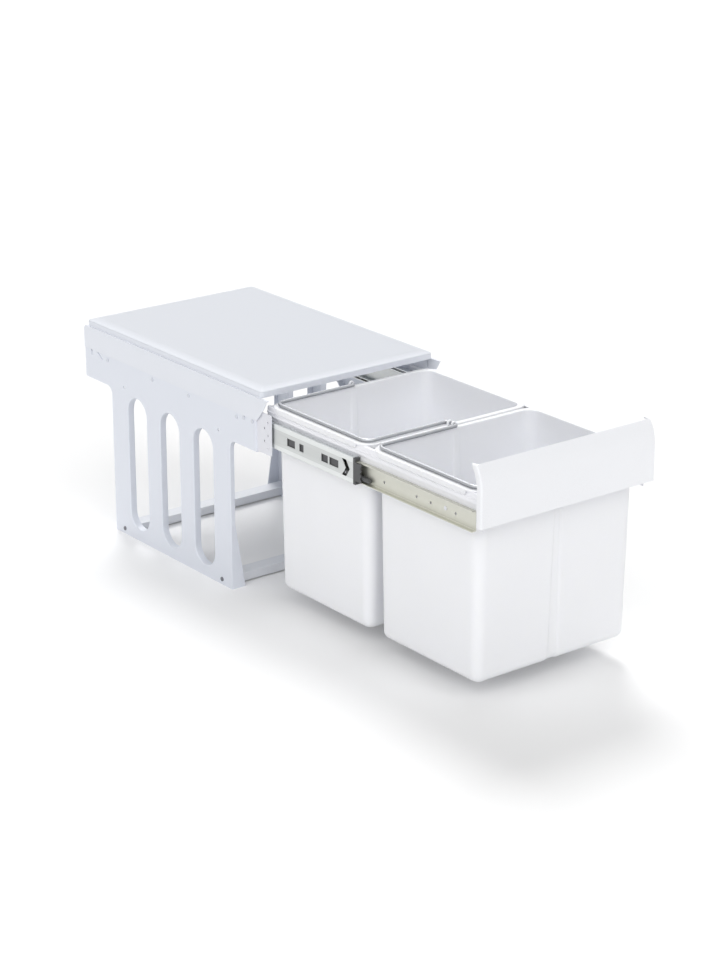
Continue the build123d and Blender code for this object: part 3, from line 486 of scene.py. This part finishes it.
def binProfile():
    # the wall as rows of (out in X, out in Y, height, corner radius, lip share): up the inside from the
    # floor, over the rim, round the lip and down the outside. Roundings are quarter circles
    b = bins
    rows = []
    inner = b["footRadius"] - b["wall"]
    inside = b["corner"] - b["wall"]
    for turn in np.linspace(0, pi / 2, b["innerTurn"]):
        off = -b["wall"] - inner * (1 - sin(turn))
        height = b["foot"] + b["wall"] + inner * (1 - cos(turn))
        rows.append((off, off, height, inside + b["cornerLoss"] * (off + b["wall"]), 0))
    run = b["innerWall"]
    straight = b["foot"] + b["footRadius"]
    for height in np.linspace(straight + run["aboveFoot"], b["rim"] - run["belowRim"], run["rows"]):
        rows.append((-b["wall"], -b["wall"], height, inside, 0))
    roll = b["roll"]
    for turn in np.linspace(0, pi / 2, b["rollTurn"]):
        off = -b["wall"] + roll * (1 - cos(turn))
        rows.append((off, off, b["rim"] - roll * (1 - sin(turn)), inside, 0))
    for share in b["topShares"]:
        outX, outY = b["sideOut"] * share - b["topShift"], b["endOut"] * share - b["topShift"]
        rows.append((outX, outY, b["rim"], b["corner"] + b["topFlare"] * share, 0))
    edge = b["corner"] + b["rimFlare"]
    for turn in np.linspace(0, pi / 2, b["rollTurn"]):
        cut = roll * (1 - sin(turn))
        rows.append((b["sideOut"] - cut, b["endOut"] - cut, b["rim"] - roll * (1 - cos(turn)), edge, 0))
    under = b["rim"] - b["rimThick"]
    for share, inset in b["lipSteps"]:
        rows.append((b["sideOut"] - inset, b["endOut"] - inset, under, edge - inset, share))
    out, down = b["underRim"]
    rows.append((out, out, under, b["corner"], 0))
    rows.append((0.0, 0.0, under - down, b["corner"], 0))
    run = b["outerWall"]
    for height in np.linspace(b["rim"] - run["belowRim"], straight + run["aboveFoot"], run["rows"]):
        rows.append((0.0, 0.0, height, b["corner"], 0))
    for turn in np.linspace(pi / 2, 0, b["outerTurn"]):
        off = -b["footRadius"] * (1 - sin(turn))
        height = b["foot"] + b["footRadius"] * (1 - cos(turn))
        rows.append((off, off, height, b["corner"] + b["cornerLoss"] * off, 0))
    return np.array(rows)


def binShell(front):
    # rounded rectangles stacked along the profile, each drawn in by the taper times its depth below the rim
    b = bins
    outX, outY, height, radius, lipShare = binProfile().T
    span = b["rim"] - b["foot"]
    fall = b["taper"] * (b["rim"] - height) / span
    middle = front + b["depth"] / 2
    plan = ringPlan(*b["ringSteps"])
    halfX, halfY = b["half"] - fall + outX, b["depth"] / 2 - fall + outY
    grid = ringRows(plan, halfX, halfY, radius - fall, height, middle)
    # the lip hangs down all round, but stops at the corners where the rails pass under
    run = b["depth"] / 2 - b["corner"] + b["lipPast"]
    lipped = (np.abs(grid[:, :, 0]) < b["railEdge"]) | (np.abs(grid[:, :, 1] - middle) < run)
    grid[:, :, 2] -= lipShare[:, None] * lipped * (b["lip"] - b["rimThick"])
    # the groove in the end walls: a flat valley with soft edges that narrows upwards and fades near the rim
    share = (b["rim"] - grid[:, :, 2]) / span
    half = b["grooveTop"] + (b["grooveFoot"] - b["grooveTop"]) * share
    valley = smoothStep((half + b["grooveEdge"] / 2 - np.abs(grid[:, :, 0])) / b["grooveEdge"])
    fade = smoothStep((share - b["grooveStart"]) / b["grooveFade"]) * (lipShare == 0)[:, None]
    endWall = np.abs(plan[3]) > b["endFacing"]
    grid[:, :, 1] -= np.sign(grid[:, :, 1] - middle) * valley * fade * b["grooveDepth"] * endWall
    return grid


# The lugs that hold the bails' pins: their height is that of the wire's line
ear = {
    "height": 337.05, "radius": 5.0, "drop": 5.4, "square": 0.35, "hole": 2.8, "thick": 3.5,
    "soft": 0.4, "narrow": 0.92, "sink": 0.1, "around": 40,
}


def earPoints(place, outward):
    # an arch with a round hole, carried a short way along Y. The arch is a circle above its middle, and
    # below it the drop times a low power of the sine, which is nearly square. Both faces are narrower
    e = ear
    turn = np.linspace(0, 2 * pi, e["around"], endpoint=False)
    rise = np.sin(turn)
    below = e["drop"] * np.sign(rise) * np.abs(rise) ** e["square"]
    outline = np.where(rise > 0, e["radius"] * rise, below)
    arch = np.stack([e["radius"] * np.cos(turn), e["height"] + outline], -1)
    hole = np.stack([e["hole"] * np.cos(turn), e["height"] + e["hole"] * rise], -1)
    face = arch * [e["narrow"], 1] + [0, -e["sink"]]
    soft, far = e["soft"], e["thick"]
    loops = []
    for shape, step in ((hole, 0), (face, 0), (arch, soft), (arch, far - soft), (face, far), (hole, far)):
        depth = np.full((e["around"], 1), place - outward * step)
        loops.append(np.concatenate([shape[:, :1], depth, shape[:, 1:]], 1))
    return np.array(loops)


def makeBin(end):
    # a bin's shell, and a lug on the middle of each end of its rim
    front = bins["fronts"][end]
    points, faces = cappedGrid(binShell(front))
    asPiece(end + "BinShell", points, faces, end + "_tub", "bin", (end + "_bin",), 50)
    back = front + bins["depth"]
    for side, place, outward in (("Front", front - bins["endOut"], -1), ("Rear", back + bins["endOut"], 1)):
        loops = earPoints(place, outward)
        faces = gridFaces(*loops.shape[:2], closed=True)
        points = loops.reshape(-1, 3)
        asPiece(end + "BinEar" + side, points, faces, end + "_tub", "bin", (), 35)


for end in bins["fronts"]:
    makeBin(end)
print("bins made")

# The bails: bent wire that lies round the left side of each bin, with its pins in the lugs
bail = {"radius": 2.75, "inset": 3.0, "sideInset": 0.5, "corner": 16.0, "pinBend": 3.4, "soft": 0.45,
        "around": 24, "capTurns": (0.6, 1.1, pi / 2)}


def roundedPath(corners, radii, step=6.0):
    # straight runs joined by arcs that touch both. An arc's centre lies on the line that halves its corner,
    # its radius over the sine of half the angle away, and its points turn evenly between its two ends
    path = [np.array(corners[0], float)]
    for before, here, after, radius in zip(corners[:-2], corners[1:-1], corners[2:], radii):
        before, here, after = (np.array(v, float) for v in (before, here, after))
        back = (before - here) / np.linalg.norm(before - here)
        ahead = (after - here) / np.linalg.norm(after - here)
        half = np.arccos(np.clip(back @ ahead, -1, 1)) / 2
        centre = here + (back + ahead) / np.linalg.norm(back + ahead) * radius / sin(half)
        first = here + back * radius / np.tan(half) - centre
        last = here + ahead * radius / np.tan(half) - centre
        sweep = pi - 2 * half
        share = np.linspace(0, 1, max(6, int(np.degrees(sweep) / step)))[:, None]
        turned = first * np.sin((1 - share) * sweep) + last * np.sin(share * sweep)
        path.extend(centre + turned / sin(sweep))
    path.append(np.array(corners[-1], float))
    return np.array(path)


def bailGrid(path):
    # a circle carried along a level path: path + radius * (sideways * cosine + up * sine). At both ends a
    # few more circles step outwards and shrink along a quarter circle, which rounds the wire's cut edge
    radius, soft = bail["radius"], bail["soft"]
    up = np.array((0, 0, 1))
    along = np.gradient(path, axis=0)
    along /= np.linalg.norm(along, axis=1)[:, None]
    side = np.cross(along, up)
    side /= np.linalg.norm(side, axis=1)[:, None]
    turn = np.linspace(0, 2 * pi, bail["around"], endpoint=False)[None, :, None]
    ring = side[:, None, :] * np.cos(turn) + up * np.sin(turn)
    ends = []
    for index, way in ((0, -1), (-1, 1)):
        ends.append(np.array([
            path[index] + along[index] * way * soft * sin(a) + ring[index] * (radius - soft * (1 - cos(a)))
            for a in bail["capTurns"]]))
    return np.concatenate([ends[0][::-1], path[:, None, :] + radius * ring, ends[1]])


def makeBail(end):
    # from the front pin round the side to the rear pin, level with the lugs' holes
    front = bins["fronts"][end]
    near, far = front + bail["inset"], front + bins["depth"] - bail["inset"]
    side = -(bins["half"] + bail["sideInset"])
    tip = bins["endOut"] + bail["inset"] - bail["soft"]
    z = ear["height"]
    corners = [
        (0, near - tip, z), (0, near, z), (side, near, z),
        (side, far, z), (0, far, z), (0, far + tip, z)]
    path = roundedPath(corners, (bail["pinBend"], bail["corner"], bail["corner"], bail["pinBend"]))
    points, faces = cappedGrid(bailGrid(path))
    asPiece(end + "BailWire", points, faces, end + "_bail", "wire", (end + "_bin_bail",), 45)


for end in bins["fronts"]:
    makeBail(end)
print("bails made")

# The cover, in millimetres. Its top steps are how far each row lies in from the shoulder and below the top
cover = {
    "half": 169.5, "front": -258.0, "rear": 243.5, "foot": 345.0, "top": 358.4, "wall": 2.5,
    "shoulderRise": 3.4, "shoulderRun": 17.0, "shoulderShares": (0.2, 0.5, 0.8, 0.94), "shoulderStart": 0.8,
    "soft": 1.8, "softTurn": 8, "footStep": 2.0, "topSteps": ((1.5, 0.05), (3.0, 0.0), (20.0, 0.0)),
    "corner": 6.0, "cornerLoss": 0.3, "leastCorner": 2.5, "ringSteps": (12, 20, 20),
}


def coverProfile(shrink):
    # rows of (inset, height): up the side wall, round a soft edge until it leans as the shoulder does, then
    # straight up the shoulder and in to the flat top
    c = cover
    low = c["top"] - shrink - c["shoulderRise"]
    slope = np.arctan2(c["shoulderRise"], c["shoulderRun"])
    rows = [(shrink, c["foot"]), (shrink, c["foot"] + c["footStep"]), (shrink, low - c["soft"])]
    for turn in np.linspace(0, pi / 2 - slope, c["softTurn"])[1:]:
        rows.append((shrink + c["soft"] * (1 - cos(turn)), low - c["soft"] + c["soft"] * sin(turn)))
    start = shrink + c["soft"] * c["shoulderStart"]
    for share in c["shoulderShares"]:
        rows.append((start + (c["shoulderRun"] - c["soft"]) * share, low + c["shoulderRise"] * share))
    reach = shrink + c["shoulderRun"]
    for run, drop in c["topSteps"]:
        rows.append((reach + run, c["top"] - shrink - drop))
    return rows


def makeCover():
    # rounded rectangles stacked down the profile's inner side and up its outer one, as one closed lid
    c = cover
    middle = (c["front"] + c["rear"]) / 2
    inset, height = np.array(coverProfile(c["wall"])[::-1] + coverProfile(0.0)).T
    radius = np.maximum(c["corner"] - c["cornerLoss"] * inset, c["leastCorner"])
    halfDepth = (c["rear"] - c["front"]) / 2
    grid = ringRows(ringPlan(*c["ringSteps"]), c["half"] - inset, halfDepth - inset, radius, height, middle)
    points, faces = cappedGrid(grid)
    asPiece("coverLid", points, faces, "case", "cover", ("top_cover",), 40)


makeCover()
print("cover made")

# The front plate, in millimetres: upright for its straight height, then leaning back along an arc
plate = {
    "half": 166.5, "face": -777.0, "foot": 286.0, "height": 93.0, "straight": 56.0, "lean": 13.0,
    "returns": 10.5, "wall": 2.2, "corner": 3.0, "cornerTurn": 8, "topCorner": 3.5,
    "footRows": (1.5, 5.0), "arcEnd": 3.6, "topStart": 3.4, "rows": (14, 20, 9),
    "edgeShares": (0.965, 0.985, 0.995), "innerShare": 0.94, "columns": 48,
    "soft": 0.5, "softSegments": 3, "softAngle": 50,
}


def plateGrid():
    # up: the face is set back by radius - root(radius squared - rise squared) above the bend, and the half
    # width is cut the same way at the top corners. Across: a return, a quarter circle, the face, and again
    p = plate
    top = p["foot"] + p["height"]
    bend = p["foot"] + p["straight"]
    rise = top - bend
    radius = (p["lean"] ** 2 + rise ** 2) / (2 * p["lean"])
    first, second = p["footRows"]
    straightRows, arcRows, topRows = p["rows"]
    height = np.concatenate([
        [p["foot"], p["foot"] + first],
        np.linspace(p["foot"] + second, bend, straightRows),
        np.linspace(bend, top - p["arcEnd"], arcRows)[1:],
        np.linspace(top - p["topStart"], top, topRows)])
    face = p["face"] + radius - np.sqrt(radius ** 2 - np.clip(height - bend, 0, None) ** 2)
    over = np.clip(height - (top - p["topCorner"]), 0, p["topCorner"])
    cut = p["topCorner"] - np.sqrt(np.maximum(p["topCorner"] ** 2 - over ** 2, 0.0))
    half = (p["half"] - cut)[:, None]
    turn = np.linspace(0, pi / 2, p["cornerTurn"])
    r = p["corner"]
    cornerX = np.concatenate([[0, 0], r - r * np.cos(turn)])
    cornerY = np.concatenate([[p["returns"], p["returns"] / 2], r - r * np.sin(turn)])
    edge, inner = np.array(p["edgeShares"]), p["innerShare"]
    shares = np.concatenate([-edge[::-1], np.linspace(-inner, inner, p["columns"]), edge])
    x = np.concatenate([-half + cornerX, (half - r) * shares, half - cornerX[::-1]], 1)
    y = face[:, None] + np.concatenate([cornerY, np.zeros(len(shares)), cornerY[::-1]])
    return np.stack([x, y, np.broadcast_to(height[:, None], x.shape)], -1)


def makePlate():
    # the grid is one skin, which Solidify gives its wall and Bevel its soft edges
    grid = plateGrid()
    mesh = bpy.data.meshes.new("frontPlateShell")
    mesh.from_pydata((grid.reshape(-1, 3) * mm).tolist(), [], gridFaces(*grid.shape[:2], wrap=False))
    mesh.shade_smooth()
    obj = linked("frontPlateShell", mesh)
    wall = obj.modifiers.new("wall", "SOLIDIFY")
    wall.thickness = plate["wall"] * mm
    wall.offset = -1.0
    wall.use_even_offset = True
    soft = obj.modifiers.new("soft", "BEVEL")
    soft.width = plate["soft"] * mm
    soft.segments = plate["softSegments"]
    soft.limit_method = "ANGLE"
    soft.angle_limit = radians(plate["softAngle"])
    obj.data.materials.append(finishes["plate"])
    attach(obj, "carrier")
    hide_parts("front_plate")


# A stiffening lip behind the face, along the plate's foot
footLip = {"start": 1.2, "depth": 7.5, "round": 0.7, "pastWall": 0.4, "across": 24, "around": 32}


def makeFootLip():
    # a rounded rectangle carried along X: each point is its corner's centre + radius * (cosine, sine)
    p, b = plate, footLip
    near, far = p["face"] + b["start"], p["face"] + b["depth"]
    low, high, r = p["foot"], p["foot"] + p["wall"], b["round"]
    turn = np.linspace(0, 2 * pi, b["around"], endpoint=False)
    y = np.where(np.cos(turn) > 0, far - r, near + r) + r * np.cos(turn)
    z = np.where(np.sin(turn) > 0, high - r, low + r) + r * np.sin(turn)
    x = np.linspace(-1, 1, b["across"]) * (p["half"] - p["wall"] + b["pastWall"])
    grid = np.stack(np.broadcast_arrays(x[:, None], y[None, :], z[None, :]), -1)
    points, faces = cappedGrid(grid)
    asPiece("plateFootLip", points, faces, "carrier", "plate")


# Four hollow screw bosses, which stand across to both sides of X = 0 and rise above and below their middle
boss = {
    "across": 141.6, "middle": 308.0, "rise": 10.0, "end": -767.2, "foot": -775.2, "around": 36,
    "radius": 5.0, "soft": 0.5, "hole": 2.0, "holeSoft": 0.4,
    "flare": 1.6, "flareSteps": (1.8, 0.8, 0.2),
}


def makeBosses():
    # each is an outline of radius and depth spun round its screw's line: up the hole, over the soft end,
    # down the outside and out along the flare at the face
    b = boss
    r, s, hole, flared = b["radius"], b["soft"], b["hole"], b["radius"] + b["flare"]
    end, foot = b["end"], b["foot"]
    high, middle, low = b["flareSteps"]
    radius = np.array([hole, hole, hole + b["holeSoft"], r - s, r, r, r + s, flared, flared, hole])
    depth = np.array([foot, end - s, end, end, end - s, foot + high, foot + middle, foot + low, foot, foot])
    turn = np.linspace(0, 2 * pi, b["around"], endpoint=False)
    points, faces = [], []
    for across in (-b["across"], b["across"]):
        for rise in (-b["rise"], b["rise"]):
            x = across + radius[:, None] * np.cos(turn)
            z = b["middle"] + rise + radius[:, None] * np.sin(turn)
            faces += gridFaces(*x.shape, start=len(points) * x.size)
            points.append(np.stack([x, np.broadcast_to(depth[:, None], x.shape), z], -1).reshape(-1, 3))
    asPiece("plateBosses", np.concatenate(points), faces, "carrier", "plate")


makePlate()
makeFootLip()
makeBosses()
print("front plate made")

# Metres, and lamp spreads in degrees. A lamp's way is the direction from the part towards it
studio = {
    "floor": (0.93, 0.93, 0.93), "floorHalf": 9, "floorRough": 0.9, "floorGloss": 0.1, "floorLift": 0.05,
    "world": 0.32, "lampDistance": 3,
    "lamps": {
        "frontSoftbox": {"way": (-0.25, -1.0, 0.95), "strength": 0.92, "spread": 50},
        "leftSoftbox": {"way": (-1.0, -0.3, 0.9), "strength": 0.82, "spread": 50},
        "backSoftbox": {"way": (0.6, 1.0, 1.45), "strength": 1.6, "spread": 22},
    },
}


def seenRays(tree):
    # 1 for what the camera, a mirror or clear glass sees, 0 for light that only falls on things
    paths = tree.nodes.new("ShaderNodeLightPath")
    seen = mathNode(tree, "MAXIMUM", paths.outputs["Is Camera Ray"], paths.outputs["Is Glossy Ray"])
    return mathNode(tree, "MAXIMUM", seen, paths.outputs["Is Transmission Ray"])


def makeFloor():
    # a level square that keeps the shadows, lifted a little towards white wherever it is seen
    half = studio["floorHalf"]
    mesh = bpy.data.meshes.new("studioFloor")
    corners = [(-half, -half, 0), (half, -half, 0), (half, half, 0), (-half, half, 0)]
    mesh.from_pydata(corners, [], [(0, 1, 2, 3)])
    floor = linked("studioFloor", mesh)
    material, tree, shader = newMaterial("studioWhite")
    shader.inputs["Base Color"].default_value = (*studio["floor"], 1)
    shader.inputs["Roughness"].default_value = studio["floorRough"]
    shader.inputs["Specular IOR Level"].default_value = studio["floorGloss"]
    shader.inputs["Emission Color"].default_value = (1, 1, 1, 1)
    lift = mathNode(tree, "MULTIPLY", seenRays(tree), studio["floorLift"])
    tree.links.new(lift, shader.inputs["Emission Strength"])
    mesh.materials.append(material)


def makeLight(name, lamp):
    # a distant softbox: light from a wide patch of the sky
    data = bpy.data.lights.new(name, "SUN")
    data.energy = lamp["strength"]
    data.angle = radians(lamp["spread"])
    obj = linked(name, data)
    obj.location = Vector(lamp["way"]) * studio["lampDistance"]
    obj.rotation_euler = Vector(lamp["way"]).to_track_quat("Z", "Y").to_euler()


def makeWorld():
    # a plain white surround: the level that lights the part, and white wherever it is seen
    world = bpy.data.worlds.new("studioWorld")
    bpy.context.scene.world = world
    world.use_nodes = True
    tree = world.node_tree
    back = tree.nodes["Background"]
    back.inputs["Color"].default_value = (1, 1, 1, 1)
    level = rangeNode(tree, seenRays(tree), (0.0, 1.0), (studio["world"], 1.0))
    tree.links.new(level, back.inputs["Strength"])


makeFloor()
makeWorld()
for name, lamp in studio["lamps"].items():
    makeLight(name, lamp)

# Degrees and metres, with the focal length and the picture's height in pixels
view = {"azimuth": -37.7, "elevation": 20.0, "distance": 4.0428, "target": (0, -0.270, 0.200),
        "right": 0.0099, "up": -0.0210, "focal": 2543.7, "height": 960, "sensor": 36.0, "reach": 50}


def makeCamera():
    # the camera stands back from its target along its own view, moved a little to the right and down
    az, el = radians(view["azimuth"]), radians(view["elevation"])
    backWay = Vector((sin(az) * cos(el), -cos(az) * cos(el), sin(el)))
    right = Vector((cos(az), sin(az), 0))
    up = backWay.cross(right)
    data = bpy.data.cameras.new("photoCamera")
    data.sensor_fit = "VERTICAL"
    data.sensor_height = view["sensor"]
    data.lens = view["focal"] / view["height"] * view["sensor"]
    data.clip_end = view["reach"]
    camera = linked("photoCamera", data)
    place = Vector(view["target"]) + backWay * view["distance"] + right * view["right"] + up * view["up"]
    turn = Matrix((right, up, backWay)).transposed()
    camera.matrix_world = Matrix.Translation(place) @ turn.to_4x4()
    bpy.context.scene.camera = camera


makeCamera()
bpy.context.scene.view_settings.view_transform = "Standard"
print("studio ready")
